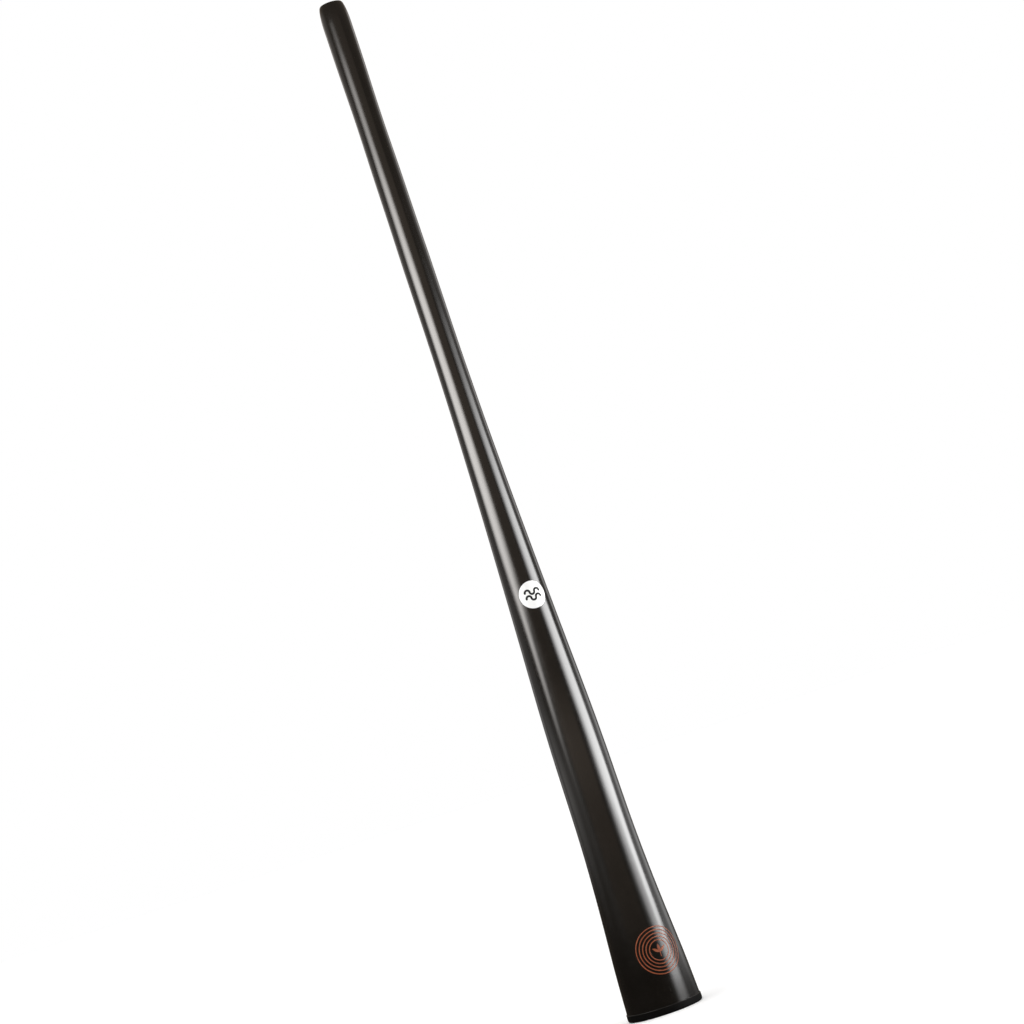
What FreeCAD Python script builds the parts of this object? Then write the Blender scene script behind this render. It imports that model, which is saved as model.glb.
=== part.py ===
"""Didgeridoo with a synthetic tube: one straight flared pipe, a built-up mouth lip, a rubber bell guard,
a round sticker and a printed ring graphic.

Frame: millimetres, +Z up the pipe from the bell to the mouth. The origin is the centre of the flat ring
that the bell guard stands on. The sticker and the graphic face the -Y side.
"""

import FreeCAD, Part
import math
import os

from FreeCAD import Vector

# ---- driving dimensions, millimetres and degrees ----

LENGTH = 1450.0  # rest face of the guard to the crest of the mouth lip
WALL = 3.8  # laminate thickness, measured level

# Outside of the bell half, from the bell rim to the straight neck: (height, radius).
RIM_HEIGHT = 3.0
BELL_OUTSIDE = [
    (RIM_HEIGHT, 51.5),
    (60.0, 48.9),
    (120.0, 44.9),
    (180.0, 41.25),
    (250.0, 38.5),
    (330.0, 37.4),
    (410.0, 35.85),
    (500.0, 32.45),
    (600.0, 28.65),
    (710.0, 24.95),
    (820.0, 22.0),
    (900.0, 20.7),
]
NECK_LOW = 970.0  # the straight neck, a true cylinder
NECK_HIGH = 1060.0
NECK_RADIUS = 20.2

# Outside of the mouth half above the neck, up to the seam under the lip.
SEAM_HEIGHT = 1420.0
MOUTH_OUTSIDE = [
    (NECK_HIGH, NECK_RADIUS),
    (1120.0, 19.8),
    (1200.0, 19.5),
    (1285.0, 18.95),
    (1350.0, 19.65),
    (SEAM_HEIGHT, 19.9),
]
SEAM_SLOPE = -0.005  # how fast the radius changes with height where the lip begins
CREST_RADIUS = 15.1  # the top of the lip, where the player's mouth rests
LIP_RISE = 14.0  # how far up the lip keeps heading up, and how far out it keeps heading level:
LIP_REACH = 2.9  # together they set how full its shoulder is

# Mouth insert
SPIGOT_RADIUS = 16.5
SPIGOT_LOW = 1396.0
SPIGOT_EDGE = 0.6  # thickness of the spigot's lower edge, below its inside taper
GLUE_GAP = 0.05
THROAT_RADIUS = 13.0
THROAT_LOW = 1408.0  # the straight part of the mouth hole
THROAT_HIGH = 1445.0
INNER_LIP_RISE = 3.0
INNER_LIP_REACH = 1.0

# Bell guard
GUARD_RADIUS = 52.3
GUARD_HEIGHT = 10.5
GUARD_INNER_RADIUS = 45.4
GUARD_INNER_HEIGHT = 9.0
GUARD_FOOT_ROUND = 3.0
GUARD_SMALL_ROUND = 0.9

# Round sticker and the mark printed on it
BADGE_HEIGHT = 583.7
BADGE_TURN = 15.0  # degrees from the -Y side towards +X
BADGE_RADIUS = 19.0
BADGE_THICKNESS = 0.25
MARK_THICKNESS = 0.12
WAVE_BEND = 3.3  # middle radius of each half turn of the wave
WAVE_LINE = 2.8
WAVE_HALF_TURNS = 3
WAVE_PITCH = 8.0  # from one wave to the next

# Printed rings and leaf near the bell
GRAPHIC_HEIGHT = 82.7
GRAPHIC_TURN = 22.0
RING_COUNT = 5
RING_FIRST = 13.5  # middle radius of the smallest ring
RING_PITCH = 4.5
RING_LINE = 1.4
PRINT_THICKNESS = 0.15
LEAF_LENGTH = 11.5
LEAF_WIDTH = 3.6
LEAF_TURNS = (-52.0, 0.0, 52.0)
STEM_LENGTH = 6.0
STEM_WIDTH = 1.1

OUTLINE_STEPS = 36  # points of a wrapped circle's closed curve
PRISM_REACH = 12.0  # how far a cutting prism goes in and out past the surface
SKIN_MARGIN = 4.0  # how far a skin runs past the print that is cut from it
HALVINGS = 60


# ---- outlines in the XZ plane ----


def at(radius, height):
    return Vector(radius, 0, height)


def through(points, first_way, last_way):
    """A spline through (height, radius) points, with the given directions at its ends."""
    curve = Part.BSplineCurve()
    places = [at(radius, height) for height, radius in points]
    curve.interpolate(Points=places, InitialTangent=first_way, FinalTangent=last_way)
    return curve


def shoulder(start, start_pull, end, end_pull):
    """A rounded shoulder that leaves one point along its pull and arrives level at the other."""
    curve = Part.BezierCurve()
    curve.setPoles([start, start + start_pull, end - end_pull, end])
    return curve


def parameter_at(curve, height):
    """The parameter where a curve that only climbs reaches a height, found by halving."""
    low, high = curve.FirstParameter, curve.LastParameter
    for _ in range(HALVINGS):
        middle = (low + high) / 2
        if curve.value(middle).z < height:
            low = middle
        else:
            high = middle
    return (low + high) / 2


def stretch(curve, low, high):
    """The part of a climbing curve between two heights, as a curve."""
    part = curve.copy()
    part.segment(parameter_at(curve, low), parameter_at(curve, high))
    return part


def line(start, end):
    return Part.LineSegment(start, end)


def moved(curve, radially):
    copy = curve.copy()
    copy.translate(Vector(radially, 0, 0))
    return copy


def turned(edges):
    """The solid made by turning a closed outline once round the pipe's axis."""
    outline = Part.Wire(Part.__sortEdges__([edge.toShape() for edge in edges]))
    solid = Part.Face(outline).revolve(Vector(0, 0, 0), Vector(0, 0, 1), 360)
    return Part.Solid(solid) if solid.ShapeType == "Shell" else solid


def rounded_outline(corners):
    """Lines and tangent arcs round a closed polygon of (radius, height, corner radius)."""
    starts, ends, edges = [], [], []
    count = len(corners)
    for index, (radius, height, bend) in enumerate(corners):
        here = at(radius, height)
        before = at(*corners[index - 1][:2]) - here
        after = at(*corners[(index + 1) % count][:2]) - here
        before.normalize()
        after.normalize()
        half = before.getAngle(after) / 2
        back = bend / math.tan(half)
        starts.append(here + before * back)
        ends.append(here + after * back)
        if bend:
            inward = before + after
            inward.normalize()
            middle = here + inward * (bend / math.sin(half) - bend)
            edges.append(Part.Arc(starts[-1], middle, ends[-1]))
    edges += [line(ends[index - 1], starts[index]) for index in range(count)]
    return edges


UP = Vector(0, 0, 1)
INWARD = Vector(-1, 0, 0)
RIM_WAY = at(BELL_OUTSIDE[1][1], BELL_OUTSIDE[1][0]) - at(BELL_OUTSIDE[0][1], BELL_OUTSIDE[0][0])
SEAM_WAY = Vector(SEAM_SLOPE, 0, 1)

bell_curve = through(BELL_OUTSIDE + [(NECK_LOW, NECK_RADIUS)], RIM_WAY, UP)
mouth_curve = through(MOUTH_OUTSIDE, UP, SEAM_WAY)
lip_curve = shoulder(
    mouth_curve.EndPoint, SEAM_WAY * LIP_RISE, at(CREST_RADIUS, LENGTH), INWARD * LIP_REACH
)
inner_lip_curve = shoulder(
    at(THROAT_RADIUS, THROAT_HIGH), UP * INNER_LIP_RISE, at(CREST_RADIUS, LENGTH), -INWARD * INNER_LIP_REACH
)


def outside_radius(height):
    """The pipe's outside radius at a height below the neck."""
    return bell_curve.value(parameter_at(bell_curve, height)).x


# ---- the pipe ----


def body_tube():
    """The laminate pipe: flared bell, straight neck, slightly swollen mouth end and tapered bore."""
    bore_upper = moved(stretch(mouth_curve, NECK_HIGH, SPIGOT_LOW), -WALL)
    bore_lower = moved(bell_curve, -WALL)
    seat_radius = SPIGOT_RADIUS + GLUE_GAP
    return turned(
        [
            bell_curve,
            line(bell_curve.EndPoint, mouth_curve.StartPoint),
            mouth_curve,
            line(mouth_curve.EndPoint, at(seat_radius, SEAM_HEIGHT)),
            line(at(seat_radius, SEAM_HEIGHT), at(seat_radius, SPIGOT_LOW)),
            line(at(seat_radius, SPIGOT_LOW), bore_upper.EndPoint),
            bore_upper,
            line(bore_upper.StartPoint, bore_lower.EndPoint),
            bore_lower,
            line(bore_lower.StartPoint, bell_curve.StartPoint),
        ]
    )


def mouthpiece():
    """The cast lip with its straight mouth hole and the spigot that is bonded into the pipe's end."""
    spigot_foot = SPIGOT_LOW + GLUE_GAP
    entry_radius = SPIGOT_RADIUS - SPIGOT_EDGE
    return turned(
        [
            lip_curve,
            inner_lip_curve,
            line(at(THROAT_RADIUS, THROAT_HIGH), at(THROAT_RADIUS, THROAT_LOW)),
            line(at(THROAT_RADIUS, THROAT_LOW), at(entry_radius, spigot_foot)),
            line(at(entry_radius, spigot_foot), at(SPIGOT_RADIUS, spigot_foot)),
            line(at(SPIGOT_RADIUS, spigot_foot), at(SPIGOT_RADIUS, SEAM_HEIGHT)),
            line(at(SPIGOT_RADIUS, SEAM_HEIGHT), lip_curve.StartPoint),
        ]
    )


def bell_guard(tube):
    """The rubber edge trim: a channel over the bell rim, with a flat ring underneath to stand on."""
    block = turned(
        rounded_outline(
            [
                (GUARD_RADIUS, 0, GUARD_FOOT_ROUND),
                (GUARD_RADIUS, GUARD_HEIGHT, GUARD_SMALL_ROUND),
                (GUARD_RADIUS - WALL, GUARD_HEIGHT, 0),
                (GUARD_RADIUS - WALL, GUARD_INNER_HEIGHT, 0),
                (GUARD_INNER_RADIUS, GUARD_INNER_HEIGHT, 0),
                (GUARD_INNER_RADIUS, 0, GUARD_SMALL_ROUND),
            ]
        )
    )
    return block.cut(tube)


# ---- the sticker and the print ----


def facing(shape, turn, height):
    """Moves a shape drawn about the XZ origin, facing -Y, to its height and turn on the pipe."""
    shape.translate(Vector(0, 0, height))
    shape.rotate(Vector(0, 0, 0), UP, turn)
    return shape


def layer(middle, reach, lift, thickness):
    """A thin skin that stands off the pipe's outside by lift and follows its flare, round a height."""
    low = middle - reach - SKIN_MARGIN
    high = middle + reach + SKIN_MARGIN
    inner = moved(stretch(bell_curve, low, high), lift)
    outer = moved(inner, thickness)
    return turned(
        [
            inner,
            line(inner.StartPoint, outer.StartPoint),
            outer,
            line(inner.EndPoint, outer.EndPoint),
        ]
    )


def wrapped_circle(radius, centre_height):
    """A circle of this radius along the surface, as the closed flat curve that casts it from the front."""
    points = []
    for step in range(OUTLINE_STEPS):
        angle = 2 * math.pi * step / OUTLINE_STEPS
        up = radius * math.sin(angle)
        round_pipe = outside_radius(centre_height + up)
        across = round_pipe * math.sin(radius * math.cos(angle) / round_pipe)
        points.append(Vector(across, 0, up))
    curve = Part.BSplineCurve()
    curve.interpolate(Points=points, PeriodicFlag=True)
    return Part.Wire(curve.toShape())


def cast(faces, skin, turn, height):
    """The part of a skin that flat faces, drawn about the origin, cover from the front."""
    start = Vector(0, -outside_radius(height) - PRISM_REACH, 0)
    prisms = [face.translated(start).extrude(Vector(0, 2 * PRISM_REACH, 0)) for face in faces]
    block = prisms[0].multiFuse(prisms[1:]).removeSplitter() if len(prisms) > 1 else prisms[0]
    return skin.common(facing(block, turn, height))


def badge_sticker():
    skin = layer(BADGE_HEIGHT, BADGE_RADIUS, 0, BADGE_THICKNESS)
    disc = Part.Face(wrapped_circle(BADGE_RADIUS, BADGE_HEIGHT))
    return cast([disc], skin, BADGE_TURN, BADGE_HEIGHT)


def half_circle(centre, radius, over):
    """A half circle from left to right, over or under its centre."""
    side = Vector(radius, 0, 0)
    return Part.Arc(centre - side, centre + Vector(0, 0, radius if over else -radius), centre + side)


def wave_face(centre_height):
    """One line of half turns, up and down in turn, with round ends."""
    edges = []
    first = -WAVE_BEND * (WAVE_HALF_TURNS - 1)
    for index in range(WAVE_HALF_TURNS):
        centre = Vector(first + 2 * WAVE_BEND * index, 0, centre_height)
        over = index % 2 == 0
        edges.append(half_circle(centre, WAVE_BEND + WAVE_LINE / 2, over))
        edges.append(half_circle(centre, WAVE_BEND - WAVE_LINE / 2, over))
    for end in (first - WAVE_BEND, WAVE_BEND - first):
        edges.append(half_circle(Vector(end, 0, centre_height), WAVE_LINE / 2, False))
    return Part.Face(Part.Wire(Part.__sortEdges__([edge.toShape() for edge in edges])))


def badge_mark():
    """Two plain waves, one above the other, printed on the sticker."""
    skin = layer(BADGE_HEIGHT, BADGE_RADIUS, BADGE_THICKNESS, MARK_THICKNESS)
    waves = [wave_face(side * WAVE_PITCH / 2) for side in (-1, 1)]
    return Part.makeCompound([cast([wave], skin, BADGE_TURN, BADGE_HEIGHT) for wave in waves])


def graphic_ring(index, skin):
    middle = RING_FIRST + RING_PITCH * index
    outer = wrapped_circle(middle + RING_LINE / 2, GRAPHIC_HEIGHT)
    inner = wrapped_circle(middle - RING_LINE / 2, GRAPHIC_HEIGHT)
    ring = Part.Face(outer).cut(Part.Face(inner))
    return cast([ring], skin, GRAPHIC_TURN, GRAPHIC_HEIGHT)


def leaf_face(turn):
    """A pointed leaf made of two arcs, standing on the origin and turned about it."""
    foot = Vector(0, 0, 0)
    tip = Vector(0, 0, LEAF_LENGTH)
    left = Part.Arc(foot, Vector(-LEAF_WIDTH / 2, 0, LEAF_LENGTH / 2), tip)
    right = Part.Arc(tip, Vector(LEAF_WIDTH / 2, 0, LEAF_LENGTH / 2), foot)
    leaf = Part.Face(Part.Wire([left.toShape(), right.toShape()]))
    leaf.rotate(foot, Vector(0, 1, 0), turn)
    return leaf


def graphic_emblem(skin):
    """A sprig of three plain leaves on a short stem."""
    half = STEM_WIDTH / 2
    corners = [(-half, half), (half, half), (half, -STEM_LENGTH), (-half, -STEM_LENGTH), (-half, half)]
    stem = Part.Face(Part.makePolygon([at(*corner) for corner in corners]))
    sprig = [stem] + [leaf_face(turn) for turn in LEAF_TURNS]
    raised = Vector(0, 0, (STEM_LENGTH - LEAF_LENGTH) / 2)
    return cast([face.translated(raised) for face in sprig], skin, GRAPHIC_TURN, GRAPHIC_HEIGHT)


# ---- all nodes ----

tube = body_tube()
print_skin = layer(GRAPHIC_HEIGHT, RING_FIRST + RING_PITCH * (RING_COUNT - 1), 0, PRINT_THICKNESS)
nodes = {
    "body_tube": tube,
    "mouthpiece": mouthpiece(),
    "bell_guard": bell_guard(tube),
    "badge_sticker": badge_sticker(),
    "badge_mark": badge_mark(),
    "graphic_emblem": graphic_emblem(print_skin),
}
for ring_index in range(RING_COUNT):
    nodes["graphic_ring_%d" % (ring_index + 1)] = graphic_ring(ring_index, print_skin)

os.makedirs("parts", exist_ok=True)
for name, shape in nodes.items():
    for solid in shape.Solids:
        assert solid.isValid() and solid.isClosed(), name
    solids = Part.makeCompound(shape.Solids) if len(shape.Solids) > 1 else shape.Solids[0]
    solids.exportStep("parts/%s.step" % name)
    print("%-16s %2d solid(s) %10.1f mm3" % (name, len(shape.Solids), solids.Volume))
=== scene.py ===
"""Studio scene of the didgeridoo: detailed pieces over the CAD frame, materials, soft light and camera."""

import math

import bpy
import numpy as np
from mathutils import Matrix, Vector, noise


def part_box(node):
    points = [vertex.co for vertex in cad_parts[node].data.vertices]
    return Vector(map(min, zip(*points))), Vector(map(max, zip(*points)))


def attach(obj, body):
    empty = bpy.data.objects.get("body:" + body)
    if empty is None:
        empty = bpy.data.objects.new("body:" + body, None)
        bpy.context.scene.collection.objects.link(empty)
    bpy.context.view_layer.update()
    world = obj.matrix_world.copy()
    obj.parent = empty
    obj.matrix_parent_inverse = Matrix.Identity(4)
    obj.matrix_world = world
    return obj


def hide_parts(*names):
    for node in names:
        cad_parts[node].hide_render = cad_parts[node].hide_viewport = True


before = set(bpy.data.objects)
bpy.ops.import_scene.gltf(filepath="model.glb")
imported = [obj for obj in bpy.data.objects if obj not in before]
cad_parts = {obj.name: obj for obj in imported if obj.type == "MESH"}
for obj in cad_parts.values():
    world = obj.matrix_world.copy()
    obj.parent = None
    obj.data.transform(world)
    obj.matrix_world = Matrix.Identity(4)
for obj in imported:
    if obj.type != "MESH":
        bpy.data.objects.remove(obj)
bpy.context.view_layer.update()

MM = 0.001

# ---- sizes that the CAD gives ----

GUARD_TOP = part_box("bell_guard")[1].z
PIPE_LOW, PIPE_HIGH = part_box("body_tube")
BADGE_LOW, BADGE_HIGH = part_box("badge_sticker")

# ---- sizes repeated from the CAD, where a node's box doesn't give them ----

BADGE_TURN = math.radians(15.0)  # from the -Y side towards +X
BADGE_THICKNESS = 0.25 * MM
GRAPHIC_TURN = math.radians(22.0)
RING_COUNT = 5
RING_LINE = 1.4 * MM
PRINT_THICKNESS = 0.15 * MM

# ---- sizes of the drawn detail ----

CREASE = math.radians(40.0)  # edges that bend more than this are drawn sharp
PIPE_AROUND = 176  # points round the pipe
OUTSIDE_STEP = 4.5 * MM  # between the rows of the pipe's outside
BORE_STEP = 14 * MM
RIPPLE = 0.045 * MM  # how far the hand-laid laminate waves in and out
RIPPLE_ROUND = 55.0  # how fast it waves round the pipe, and along it
RIPPLE_ALONG = 9.0
RIPPLE_FADE = 30 * MM  # over which the ripple dies out at either end
SUNK = 0.08 * MM  # how far a film's underside lies inside the surface it covers
BADGE_AROUND = 128
BADGE_EDGE = 0.25 * MM  # how far in the sticker's rolled edge reaches
BADGE_SHOULDER = 0.3  # where the roll starts, as a share of the sticker's thickness
BADGE_HUB = 0.06  # radius of its innermost row, as a share of the sticker's
BADGE_ROWS = 18  # from the hub to the edge
RING_AROUND = 144
RING_WANDER = 0.03 * MM  # how far the edge of the ink strays
WANDER_RATE = 6.0
WANDER_APART = 7.0  # gives each ring a wander of its own
# the top of a ring's bead of ink: shares of half its width and of its thickness
BEAD = ((-1.0, 0.4), (-0.86, 0.85), (-0.5, 1.0), (0.5, 1.0), (0.86, 0.85), (1.0, 0.4))

# ---- what the CAD surfaces measure ----


def shell_samples(node, outside):
    """Heights and radii of a turned node's outer or inner surface, from the vertices that face that way."""
    mesh = bpy.data.objects[node].data
    rows = []
    for vertex in mesh.vertices:
        radius = math.hypot(vertex.co.x, vertex.co.y)
        facing = (vertex.co.x * vertex.normal.x + vertex.co.y * vertex.normal.y) / radius
        if facing * (1 if outside else -1) > 0.5:
            rows.append((vertex.co.z, radius))
    rows.sort()
    heights, radii = np.array(rows).T
    return heights, radii


OUTSIDE = shell_samples("body_tube", True)
BORE = shell_samples("body_tube", False)


def outside_radius(height):
    return float(np.interp(height, *OUTSIDE))


def ripple(angle, height):
    """The slight waviness of the laminate's outside at a place on the pipe."""
    radius = outside_radius(height)
    place = Vector(
        (
            math.cos(angle) * radius * RIPPLE_ROUND,
            math.sin(angle) * radius * RIPPLE_ROUND,
            height * RIPPLE_ALONG,
        )
    )
    return RIPPLE * noise.noise(place)


def on_pipe(angle, height, lift):
    """A point lifted off the pipe's outside; the angle runs from the -Y side towards +X."""
    radius = outside_radius(height) + ripple(angle, height) + lift
    return Vector((radius * math.sin(angle), -radius * math.cos(angle), height))


def on_print(turn, middle, across, up, lift):
    """A point of a print wrapped round the pipe: across and up are measured along the surface."""
    height = middle + up
    return on_pipe(turn + across / outside_radius(height), height, lift)


# ---- shader node helpers ----


def add(tree, kind, sockets=None, **settings):
    """One shader node. sockets maps its inputs to a value or to the output that feeds it."""
    made = tree.nodes.new("ShaderNode" + kind)
    for name, value in settings.items():
        setattr(made, name, value)
    for name, value in (sockets or {}).items():
        if isinstance(value, bpy.types.NodeSocket):
            tree.links.new(value, made.inputs[name])
        else:
            made.inputs[name].default_value = value
    return made


def blended(tree, factor, first, second):
    """A number between two numbers."""
    return add(tree, "Mix", {0: factor, 2: first, 3: second}, data_type="FLOAT").outputs[0]


def noise_value(tree, place, scale, detail, roughness, distortion=0.0):
    sockets = {
        "Vector": place,
        "Scale": scale,
        "Detail": detail,
        "Roughness": roughness,
        "Distortion": distortion,
    }
    return add(tree, "TexNoise", sockets).outputs[0]


def ranged(tree, value, low, high, to_low, to_high):
    """A value stretched from one range to another and kept inside it."""
    sockets = {"Value": value, "From Min": low, "From Max": high, "To Min": to_low, "To Max": to_high}
    return add(tree, "MapRange", sockets).outputs[0]


def maths(tree, operation, first, second):
    return add(tree, "Math", {0: first, 1: second}, operation=operation).outputs[0]


def mixed(tree, factor, first, second):
    """A colour between two colours."""
    made = add(tree, "Mix", {0: factor, 6: first, 7: second}, data_type="RGBA")
    return made.outputs[2]


def colour(red, green, blue):
    return (red, green, blue, 1.0)


def places(tree, stretch=(1.0, 1.0, 1.0)):
    """Positions on the object in metres, stretched along the axes where a grain needs it."""
    place = add(tree, "TexCoord").outputs["Object"]
    if stretch == (1.0, 1.0, 1.0):
        return place
    return add(tree, "Mapping", {"Vector": place, "Scale": stretch}).outputs[0]


def bumped(tree, height, distance, strength, under=None):
    """A normal that leans with the height, on top of another bump if one is given."""
    sockets = {"Height": height, "Distance": distance, "Strength": strength}
    if under is not None:
        sockets["Normal"] = under
    return add(tree, "Bump", sockets).outputs[0]


def surface(name, build):
    """A material whose Principled sockets come from build(tree)."""
    material = bpy.data.materials.new(name)
    material.use_nodes = True
    tree = material.node_tree
    tree.nodes.clear()
    shader = add(tree, "BsdfPrincipled", build(tree))
    add(tree, "OutputMaterial", {"Surface": shader.outputs[0]})
    return material


# ---- colours and finishes ----

WHITE = colour(1.0, 1.0, 1.0)
LACQUER_DARK = colour(0.0025, 0.0021, 0.0015)
LACQUER_WARM = colour(0.0042, 0.0032, 0.0023)
LACQUER_RUBBED = colour(0.0085, 0.0064, 0.0050)
BORE_DARK = colour(0.010, 0.008, 0.006)
BORE_BROWN = colour(0.028, 0.019, 0.012)
BORE_STRAND = colour(0.075, 0.058, 0.040)
RUBBER_BLACK = colour(0.0007, 0.0006, 0.0005)
RUBBER_DUSTY = colour(0.0045, 0.0041, 0.0037)
# painted highlight colour for the thin light line along the guard's top edge
RUBBER_PAINTED_GLINT = colour(0.013, 0.012, 0.011)
VINYL_WHITE = colour(0.83, 0.83, 0.82)
VINYL_HANDLED = colour(0.76, 0.755, 0.74)
VINYL_MARKED = colour(0.55, 0.54, 0.52)
INK_BLACK = colour(0.008, 0.008, 0.009)
INK_THIN = colour(0.028, 0.028, 0.030)
ORANGE_DEEP = colour(0.165, 0.034, 0.010)
ORANGE_BRIGHT = colour(0.262, 0.066, 0.021)
ORANGE_THIN = colour(0.062, 0.018, 0.010)
FLOOR_DIM = colour(0.93, 0.93, 0.93)
FLOOR_PALE = colour(0.95, 0.95, 0.95)
FLOOR_GLOW = 0.12
LACQUER_IOR = 1.45
RUBBER_SPECULAR = 0.05
INK_SPECULAR = 0.12
ORANGE_SPECULAR = 0.2
SCRATCH_EDGE = 0.02  # how soft a scratch's edge is, in the grain's own units

# ---- materials ----


def scratches(tree, along, across, threshold):
    """Thin lines, 1 on a scratch and 0 off it, drawn out along one direction."""
    place = places(tree, (across, across, along))
    grain = noise_value(tree, place, scale=1.0, detail=2.0, roughness=0.6, distortion=0.4)
    return ranged(tree, grain, threshold, threshold + SCRATCH_EDGE, 0.0, 1.0)


def lacquer(tree):
    """Satin black lacquer: warm black, orange peel, faint rub marks and long fine scratches."""
    place = places(tree)
    broad = noise_value(tree, place, scale=14.0, detail=4.0, roughness=0.55)
    cloud = noise_value(tree, place, scale=95.0, detail=5.0, roughness=0.6)
    peel = noise_value(tree, place, scale=900.0, detail=2.0, roughness=0.5)
    dust = noise_value(tree, place, scale=2600.0, detail=1.0, roughness=0.5)
    lines = scratches(tree, along=9.0, across=900.0, threshold=0.735)
    rub = ranged(tree, cloud, 0.52, 0.78, 0.0, 1.0)
    tone = mixed(tree, ranged(tree, broad, 0.3, 0.7, 0.0, 1.0), LACQUER_DARK, LACQUER_WARM)
    tone = mixed(tree, maths(tree, "MULTIPLY", rub, 0.25), tone, LACQUER_RUBBED)
    rough = ranged(tree, broad, 0.25, 0.75, 0.15, 0.19)
    rough = maths(tree, "ADD", rough, maths(tree, "MULTIPLY", rub, 0.03))
    rough = maths(tree, "ADD", rough, maths(tree, "MULTIPLY", lines, 0.1))
    normal = bumped(tree, broad, 0.16 * MM, strength=0.5)
    normal = bumped(tree, peel, 0.012 * MM, strength=0.5, under=normal)
    normal = bumped(tree, maths(tree, "ADD", dust, lines), 0.004 * MM, strength=0.6, under=normal)
    return {"Base Color": tone, "Roughness": rough, "IOR": LACQUER_IOR, "Normal": normal}


def resin_bore(tree):
    """The bare inside: glass mat under brown-black resin, glossy on the high strands."""
    place = places(tree)
    drift = noise_value(tree, place, scale=30.0, detail=3.0, roughness=0.5)
    strands = scratches(tree, along=260.0, across=260.0, threshold=0.56)
    across = places(tree, (700.0, 700.0, 160.0))
    other = noise_value(tree, across, scale=1.0, detail=3.0, roughness=0.6, distortion=1.4)
    mat = maths(tree, "MAXIMUM", strands, ranged(tree, other, 0.55, 0.62, 0.0, 1.0))
    tone = mixed(tree, ranged(tree, drift, 0.35, 0.65, 0.0, 1.0), BORE_DARK, BORE_BROWN)
    tone = mixed(tree, maths(tree, "MULTIPLY", mat, 0.45), tone, BORE_STRAND)
    rough = ranged(tree, mat, 0.0, 1.0, 0.55, 0.34)
    normal = bumped(tree, maths(tree, "ADD", mat, drift), 0.22 * MM, strength=0.8)
    return {"Base Color": tone, "Roughness": rough, "Normal": normal}


def rubber(tree):
    """Matt black moulded rubber with a fine spark-eroded grain, a little dust, and a painted highlight: a
    lighter, less rough band along the top edge.
    """
    place = places(tree)
    grain = noise_value(tree, place, scale=1900.0, detail=4.0, roughness=0.65)
    cloud = noise_value(tree, place, scale=60.0, detail=4.0, roughness=0.6)
    dust = ranged(tree, maths(tree, "MULTIPLY", grain, cloud), 0.26, 0.42, 0.0, 1.0)
    tone = mixed(tree, maths(tree, "MULTIPLY", dust, 0.5), RUBBER_BLACK, RUBBER_DUSTY)
    height = add(tree, "SeparateXYZ", {0: place}).outputs[2]
    # a narrow band just under the guard's top is painted lighter as a highlight line, and made a little less
    # rough
    painted_glint = ranged(tree, height, GUARD_TOP - 1.2 * MM, GUARD_TOP - 0.7 * MM, 0.0, 1.0)
    tone = mixed(tree, painted_glint, tone, RUBBER_PAINTED_GLINT)
    rough = ranged(tree, cloud, 0.3, 0.7, 0.5, 0.66)
    rough = maths(tree, "SUBTRACT", rough, maths(tree, "MULTIPLY", painted_glint, 0.2))
    normal = bumped(tree, grain, 0.035 * MM, strength=0.7)
    return {"Base Color": tone, "Roughness": rough, "Specular IOR Level": RUBBER_SPECULAR, "Normal": normal}


def vinyl(tree):
    """White printed film: faint cast, handling marks and a fine orange peel from the surface under it."""
    place = places(tree)
    cloud = noise_value(tree, place, scale=120.0, detail=4.0, roughness=0.6)
    peel = noise_value(tree, place, scale=700.0, detail=2.0, roughness=0.5)
    marks = scratches(tree, along=120.0, across=900.0, threshold=0.71)
    tone = mixed(tree, ranged(tree, cloud, 0.35, 0.75, 0.0, 0.6), VINYL_WHITE, VINYL_HANDLED)
    tone = mixed(tree, maths(tree, "MULTIPLY", marks, 0.2), tone, VINYL_MARKED)
    rough = ranged(tree, cloud, 0.3, 0.7, 0.32, 0.44)
    normal = bumped(tree, peel, 0.012 * MM, strength=0.5)
    return {"Base Color": tone, "Roughness": rough, "Normal": normal}


def black_ink(tree):
    """Matt black print, a little greyer where the ink is thin."""
    place = places(tree)
    cloud = noise_value(tree, place, scale=500.0, detail=4.0, roughness=0.6)
    tone = mixed(tree, ranged(tree, cloud, 0.4, 0.8, 0.0, 1.0), INK_BLACK, INK_THIN)
    rough = ranged(tree, cloud, 0.3, 0.7, 0.5, 0.62)
    tooth = noise_value(tree, place, scale=2400.0, detail=2.0, roughness=0.5)
    normal = bumped(tree, tooth, 0.008 * MM, strength=0.5)
    return {"Base Color": tone, "Roughness": rough, "Specular IOR Level": INK_SPECULAR, "Normal": normal}


def orange_ink(tree):
    """Orange-brown screen ink: uneven cover with the black ground showing through where it is thin."""
    place = places(tree)
    cloud = noise_value(tree, place, scale=140.0, detail=4.0, roughness=0.6)
    speck = noise_value(tree, place, scale=1500.0, detail=3.0, roughness=0.7)
    thin = ranged(tree, speck, 0.56, 0.7, 0.0, 1.0)
    tone = mixed(tree, ranged(tree, cloud, 0.3, 0.7, 0.0, 1.0), ORANGE_DEEP, ORANGE_BRIGHT)
    tone = mixed(tree, maths(tree, "MULTIPLY", thin, 0.45), tone, ORANGE_THIN)
    rough = ranged(tree, speck, 0.3, 0.7, 0.3, 0.46)
    normal = bumped(tree, speck, 0.02 * MM, strength=0.6)
    return {"Base Color": tone, "Roughness": rough, "Specular IOR Level": ORANGE_SPECULAR, "Normal": normal}


def floor_paint(tree):
    """The studio's white floor, lit a little from within so that it stays plain white."""
    place = places(tree)
    cloud = noise_value(tree, place, scale=1.3, detail=3.0, roughness=0.5)
    tone = mixed(tree, cloud, FLOOR_DIM, FLOOR_PALE)
    rough = ranged(tree, cloud, 0.3, 0.7, 0.75, 0.9)
    return {
        "Base Color": tone,
        "Roughness": rough,
        "Emission Color": WHITE,
        "Emission Strength": FLOOR_GLOW,
    }


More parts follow.
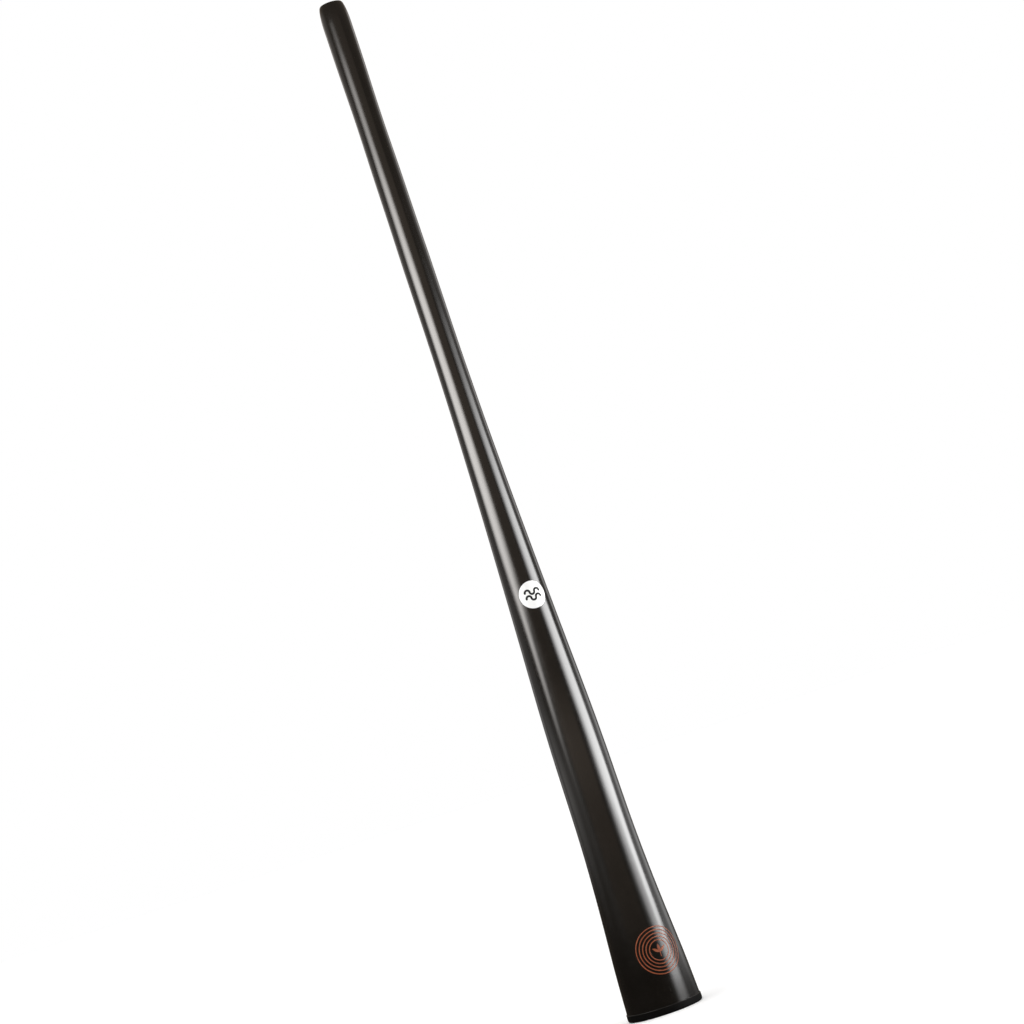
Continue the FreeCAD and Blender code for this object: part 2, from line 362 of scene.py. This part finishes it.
LACQUER = surface("black_lacquer", lacquer)
BORE_RESIN = surface("bore_resin", resin_bore)
RUBBER = surface("guard_rubber", rubber)
VINYL = surface("white_vinyl", vinyl)
BLACK_INK = surface("black_ink", black_ink)
ORANGE_INK = surface("orange_ink", orange_ink)


# ---- mesh helpers ----


def piece(name, points, faces, materials, node):
    """A finished piece that stands for a CAD node. A face is (corners, material number)."""
    mesh = bpy.data.meshes.new(name)
    mesh.from_pydata(points, [], [corners for corners, _ in faces])
    for material in materials:
        mesh.materials.append(material)
    mesh.polygons.foreach_set("material_index", [number for _, number in faces])
    mesh.polygons.foreach_set("use_smooth", [True] * len(faces))
    mesh.set_sharp_from_angle(angle=CREASE)
    mesh.validate()
    made = bpy.data.objects.new(name, mesh)
    bpy.context.scene.collection.objects.link(made)
    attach(made, "root")
    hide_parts(node)


def loops(rows, around, closed_rows=True, material=lambda row: 0):
    """Quads between rows of points that each run once round, and from the last row to the first if closed."""
    faces = []
    last = rows if closed_rows else rows - 1
    for row in range(last):
        after = (row + 1) % rows
        for step in range(around):
            beside = (step + 1) % around
            corners = (
                row * around + step,
                row * around + beside,
                after * around + beside,
                after * around + step,
            )
            faces.append((corners, material(row)))
    return faces


def steps(low, high, about):
    """Evenly spaced values from low to high, about this far apart."""
    count = max(2, round((high - low) / about) + 1)
    return [low + (high - low) * index / (count - 1) for index in range(count)]


def ring_row(radius, height, waves=0.0):
    """One row of points round the axis, with the laminate's ripple times waves."""
    row = []
    for step in range(PIPE_AROUND):
        angle = 2 * math.pi * step / PIPE_AROUND
        here = radius + (waves * ripple(angle, height) if waves else 0.0)
        row.append(Vector((here * math.sin(angle), -here * math.cos(angle), height)))
    return row


# ---- the pipe ----


def make_pipe():
    """The laminate pipe: rippled lacquered outside and bare bore, closed at both cut ends."""
    outside = steps(PIPE_LOW.z, PIPE_HIGH.z, OUTSIDE_STEP)
    inside = steps(PIPE_HIGH.z, PIPE_LOW.z, -BORE_STEP)
    points = []
    for height in outside:
        from_end = min(PIPE_HIGH.z - height, height - PIPE_LOW.z)
        points += ring_row(outside_radius(height), height, min(1.0, from_end / RIPPLE_FADE))
    for height in inside:
        points += ring_row(float(np.interp(height, *BORE)), height)
    count = len(outside)
    faces = loops(
        count + len(inside),
        PIPE_AROUND,
        material=lambda row: 0 if row < count - 1 else 1,
    )
    piece("pipe", points, faces, [LACQUER, BORE_RESIN], "body_tube")


make_pipe()


# ---- sticker and print ----


def make_badge():
    """The round sticker: a thin wrapped film with a rolled die-cut edge."""
    middle = (BADGE_LOW.z + BADGE_HIGH.z) / 2
    radius = (BADGE_HIGH.z - BADGE_LOW.z) / 2
    top = [radius * share for share in np.linspace(BADGE_HUB, 1.0, BADGE_ROWS)][:-1]
    rows = [(reach, BADGE_THICKNESS) for reach in top]
    for angle in np.radians([90, 65, 40, 15]):
        reach = radius - BADGE_EDGE + BADGE_EDGE * math.cos(angle)
        rise = BADGE_SHOULDER + (1 - BADGE_SHOULDER) * math.sin(angle)
        rows.append((reach, BADGE_THICKNESS * rise))
    rows.append((radius, -SUNK))
    rows.append((top[0], -SUNK))
    points = []
    for reach, lift in rows:
        for step in range(BADGE_AROUND):
            angle = 2 * math.pi * step / BADGE_AROUND
            across, up = reach * math.cos(angle), reach * math.sin(angle)
            points.append(on_print(BADGE_TURN, middle, across, up, lift))
    faces = loops(len(rows), BADGE_AROUND, closed_rows=False)
    for row, lift, reverse in ((0, BADGE_THICKNESS, True), (len(rows) - 1, -SUNK, False)):
        centre = len(points)
        points.append(on_print(BADGE_TURN, middle, 0.0, 0.0, lift))
        for step in range(BADGE_AROUND):
            first = row * BADGE_AROUND + step
            second = row * BADGE_AROUND + (step + 1) % BADGE_AROUND
            corners = (centre, first, second) if reverse else (centre, second, first)
            faces.append((corners, 0))
    piece("badge_film", points, faces, [VINYL], "badge_sticker")


def make_ring(index):
    """One printed ring: a bead of ink with rounded shoulders, laid round the graphic's centre."""
    node = "graphic_ring_%d" % (index + 1)
    low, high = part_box(node)
    inner_low, inner_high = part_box("graphic_ring_1")
    middle = (inner_low.z + inner_high.z) / 2
    outer = (high.z - low.z) / 2
    half = RING_LINE / 2
    section = [(share, rise * PRINT_THICKNESS) for share, rise in BEAD]
    section = [(-1.0, -SUNK)] + section + [(1.0, -SUNK)]
    points = []
    for share, lift in section:
        for step in range(RING_AROUND):
            angle = 2 * math.pi * step / RING_AROUND
            place = Vector((math.cos(angle), math.sin(angle), index * WANDER_APART)) * WANDER_RATE
            wander = RING_WANDER * noise.noise(place)
            reach = outer - half + share * half + wander * abs(share)
            across, up = reach * math.cos(angle), reach * math.sin(angle)
            points.append(on_print(GRAPHIC_TURN, middle, across, up, lift))
    faces = [(corners[::-1], 0) for corners, _ in loops(len(section), RING_AROUND)]
    piece("print_ring_%d" % (index + 1), points, faces, [ORANGE_INK], node)


make_badge()
for ring in range(RING_COUNT):
    make_ring(ring)


def recoat(node, material):
    """Gives a kept CAD node its finished material."""
    slots = bpy.data.objects[node].material_slots
    for slot in slots:
        slot.link = "OBJECT"
        slot.material = material


recoat("mouthpiece", LACQUER)
recoat("bell_guard", RUBBER)
recoat("badge_mark", BLACK_INK)
recoat("graphic_emblem", ORANGE_INK)


# ---- floor, light and camera ----

FLOOR_SIZE = 60.0
CAMERA_DISTANCE = 3.63
CAMERA_HEIGHT = 0.381
AIM_HEIGHT = 0.7007
AIM_ASIDE = 0.0161
ROLL = math.radians(18.45)
SENSOR = 36.0  # millimetres, as is the lens
LENS = 93.76
CLIP_NEAR = 0.05
CLIP_FAR = 200.0
LEFT_TINT = colour(1.0, 0.97, 0.94)
FRONT_TINT = colour(1.0, 0.82, 0.67)
WORLD_MATT = 1.05  # what matt surfaces get from all round
WORLD_MIRRORED = 0.06  # what shows in reflections at eye level
WORLD_OVERHEAD = 0.4  # and from above
WORLD_UNDERFOOT = 0.35  # and from well below
OVERHEAD_FROM = 0.03  # how steeply a mirrored ray climbs where the overhead level begins
OVERHEAD_FULL = 0.3  # and where it is reached
UNDERFOOT_FROM = -0.14
UNDERFOOT_FULL = -0.32
PANEL_DISTANCE = 1.3  # from the pipe's axis
REAR_DISTANCE = 1.6
KEY_DISTANCE = 3.0
NO_PINCH = (1.0, -1.0, 1.0, 0.0)


def make_floor():
    """A white floor that reflections leave out, because some of the panels reach below it."""
    half = FLOOR_SIZE / 2
    corners = [(-half, -half, 0), (half, -half, 0), (half, half, 0), (-half, half, 0)]
    mesh = bpy.data.meshes.new("floor")
    mesh.from_pydata(corners, [], [(0, 1, 2, 3)])
    mesh.materials.append(surface("floor_paint", floor_paint))
    floor = bpy.data.objects.new("floor", mesh)
    bpy.context.scene.collection.objects.link(floor)
    floor.visible_glossy = False


def look(location, target, roll=0.0):
    """The matrix of an object at location whose -Z points at the target, turned about that line."""
    way = (target - location).normalized()
    right = way.cross(Vector((0, 0, 1))).normalized()
    up = right.cross(way)
    across = right * math.cos(roll) - up * math.sin(roll)
    above = right * math.sin(roll) + up * math.cos(roll)
    return Matrix.Translation(location) @ Matrix((across, above, -way)).transposed().to_4x4()


def faded(tree, soft, skew, pinch):
    """How bright a panel is over its face.

    soft is how far its left, right, foot and top fade, as shares of its width or height. A single number
    makes an oval instead. skew moves the bright part sideways with height. pinch is (share, below, above,
    still): above the height above, the bright part has its whole width, and below the height below it shrinks
    to the share, about the place still. Heights run from -1 at the foot to 1 at the top, and places from -1
    at the left to 1 at the right.
    """
    face = add(tree, "NewGeometry").outputs["Parametric"]
    out = add(tree, "VectorMath", {0: face, 1: (2, 2, 0), 2: (-1, -1, 0)}, operation="MULTIPLY_ADD")
    spot = add(tree, "SeparateXYZ", {0: out.outputs[0]})
    rise = spot.outputs[1]
    aside = maths(tree, "ADD", spot.outputs[0], maths(tree, "MULTIPLY", rise, skew))
    share, below, above, still = pinch
    apart = maths(tree, "SUBTRACT", aside, still)
    narrowing = ranged(tree, rise, below, above, share, 1.0)
    aside = maths(tree, "ADD", still, maths(tree, "DIVIDE", apart, narrowing))
    if isinstance(soft, float):
        spot = add(tree, "CombineXYZ", {0: aside, 1: rise})
        reach = add(tree, "VectorMath", {0: spot.outputs[0]}, operation="LENGTH").outputs["Value"]
        ramps = [(reach, 1, soft)]
    else:
        ramps = list(zip((aside, aside, rise, rise), (-1, 1, -1, 1), soft))
    strength = 1.0
    for value, end, fade in ramps:
        sockets = {"Value": value, "From Min": end, "From Max": end - math.copysign(2 * fade, end)}
        edge = add(tree, "MapRange", sockets, interpolation_type="SMOOTHSTEP")
        strength = maths(tree, "MULTIPLY", strength, edge.outputs[0])
    return strength


def softbox(
    name,
    turn,
    low,
    high,
    width,
    radiance,
    soft,
    distance=PANEL_DISTANCE,
    skew=0.0,
    pinch=NO_PINCH,
    dim=1.0,
    tint=WHITE,
    polish=True,
):
    """An upright soft panel facing the pipe, turned about it by degrees from the -Y side towards +X.

    dim is its top's brightness as a share of its foot's. A polish panel only makes the highlights, and any
    other only lights matt surfaces. faded() says what soft, skew and pinch are.
    """
    light = bpy.data.lights.new(name, "AREA")
    light.shape = "RECTANGLE"
    light.size = width
    light.size_y = high - low
    light.energy = math.pi * width * (high - low) * radiance
    light.use_nodes = True
    tree = light.node_tree
    tree.nodes.clear()
    rise = add(tree, "SeparateXYZ", {0: add(tree, "NewGeometry").outputs["Parametric"]}).outputs[1]
    dimming = ranged(tree, rise, 0.0, 1.0, 1.0, dim)
    strength = maths(tree, "MULTIPLY", faded(tree, soft, skew, pinch), dimming)
    glow = add(tree, "Emission", {"Color": tint, "Strength": strength})
    add(tree, "OutputLight", {"Surface": glow.outputs[0]})
    made = bpy.data.objects.new(name, light)
    bpy.context.scene.collection.objects.link(made)
    angle = math.radians(turn)
    middle = (low + high) / 2
    location = Vector((distance * math.sin(angle), -distance * math.cos(angle), middle))
    made.matrix_world = look(location, Vector((0, 0, middle)))
    made.visible_camera = False
    made.visible_diffuse = not polish
    made.visible_glossy = polish


def make_world():
    """A pale studio: plain white to look at and on matt surfaces, and dimmer in reflections.

    Reflections that look well below eye level, as from a raised camera, find a pale glow there.
    """
    world = bpy.data.worlds.new("studio")
    bpy.context.scene.world = world
    world.use_nodes = True
    tree = world.node_tree
    tree.nodes.clear()
    way = add(tree, "SeparateXYZ", {0: add(tree, "TexCoord").outputs["Generated"]})
    steepness = way.outputs[2]
    level = ranged(tree, steepness, OVERHEAD_FROM, OVERHEAD_FULL, WORLD_MIRRORED, WORLD_OVERHEAD)
    below = ranged(tree, steepness, UNDERFOOT_FULL, UNDERFOOT_FROM, 1.0, 0.0)
    mirrored = blended(tree, below, level, WORLD_UNDERFOOT)
    path = add(tree, "LightPath")
    glossy = path.outputs["Is Glossy Ray"]
    lit = blended(tree, glossy, WORLD_MATT, mirrored)
    strength = blended(tree, path.outputs["Is Camera Ray"], lit, 1.0)
    tint = mixed(tree, glossy, WHITE, mixed(tree, below, FRONT_TINT, WHITE))
    shade = add(tree, "Background", {"Color": tint, "Strength": strength})
    add(tree, "OutputWorld", {"Surface": shade.outputs[0]})


def make_camera():
    """A long lens a quarter of the way up the pipe, rolled so that the pipe leans across the picture."""
    data = bpy.data.cameras.new("camera")
    data.sensor_width = SENSOR
    data.lens = LENS
    data.clip_start = CLIP_NEAR
    data.clip_end = CLIP_FAR
    camera = bpy.data.objects.new("camera", data)
    bpy.context.scene.collection.objects.link(camera)
    away = math.sqrt(CAMERA_DISTANCE**2 - (AIM_HEIGHT - CAMERA_HEIGHT) ** 2)
    location = Vector((AIM_ASIDE, -away, CAMERA_HEIGHT))
    camera.matrix_world = look(location, Vector((AIM_ASIDE, 0, AIM_HEIGHT)), ROLL)
    bpy.context.scene.camera = camera


make_floor()
make_world()
softbox(
    "left_panel",
    turn=-50,
    low=0.31,
    high=1.885,
    width=2.1,
    radiance=17.8,
    soft=0.39,
    skew=-0.24,
    pinch=(0.43, -0.53, -0.34, 0.0),
    tint=LEFT_TINT,
)
softbox(
    "right_panel",
    turn=70,
    low=0.1,
    high=1.29,
    width=1.5,
    radiance=22.0,
    soft=(0.48, 0.25, 0.1, 0.36),
    skew=0.2,
    pinch=(0.5, -0.76, -0.72, 0.38),
    dim=0.55,
)
softbox(
    "right_shoulder_panel",
    turn=55,
    low=0.2,
    high=0.4,
    width=1.0,
    radiance=3.2,
    soft=(0.45, 0.35, 0.3, 0.4),
)
softbox(
    "right_foot_panel",
    turn=69,
    low=0.0,
    high=0.26,
    width=1.2,
    radiance=10.0,
    soft=(0.4, 0.4, 0.02, 0.5),
)
softbox(
    "front_panel",
    turn=0,
    low=0.35,
    high=2.2,
    width=2.2,
    radiance=0.55,
    soft=(0.2, 0.2, 0.45, 0.5),
    tint=FRONT_TINT,
)
softbox(
    "low_front_panel",
    turn=-5,
    low=0.2,
    high=0.62,
    width=2.6,
    radiance=0.8,
    soft=(0.25, 0.25, 0.3, 0.4),
    tint=FRONT_TINT,
)
softbox(
    "low_left_panel",
    turn=-80,
    low=0.22,
    high=0.54,
    width=2.6,
    radiance=1.0,
    soft=(0.25, 0.3, 0.2, 0.3),
    dim=0.12,
    tint=LEFT_TINT,
)
softbox(
    "low_right_panel",
    turn=112,
    low=-0.06,
    high=0.8,
    width=1.2,
    radiance=1.3,
    soft=(0.3, 0.3, 0.1, 0.5),
    dim=0.4,
)
softbox(
    "right_fill_panel",
    turn=112,
    low=0.45,
    high=1.85,
    width=1.2,
    radiance=0.5,
    soft=(0.3, 0.3, 0.2, 0.3),
)
softbox(
    "left_fill_panel",
    turn=-108,
    low=0.15,
    high=2.1,
    width=1.5,
    radiance=0.33,
    soft=(0.35, 0.3, 0.05, 0.1),
    dim=1.3,
)
softbox(
    "rear_right_panel",
    turn=135,
    low=-0.2,
    high=2.1,
    width=0.9,
    radiance=1.3,
    soft=(0.3, 0.3, 0.18, 0.1),
    distance=REAR_DISTANCE,
)
softbox(
    "rear_left_panel",
    turn=-142,
    low=0.1,
    high=2.1,
    width=0.9,
    radiance=0.45,
    soft=(0.3, 0.3, 0.1, 0.1),
    distance=REAR_DISTANCE,
    dim=1.8,
)
softbox(
    "key",
    turn=-25,
    low=0.9,
    high=3.1,
    width=2.2,
    radiance=0.6,
    soft=(0.1, 0.1, 0.1, 0.1),
    distance=KEY_DISTANCE,
    polish=False,
)
make_camera()
bpy.context.scene.view_settings.view_transform = "Standard"
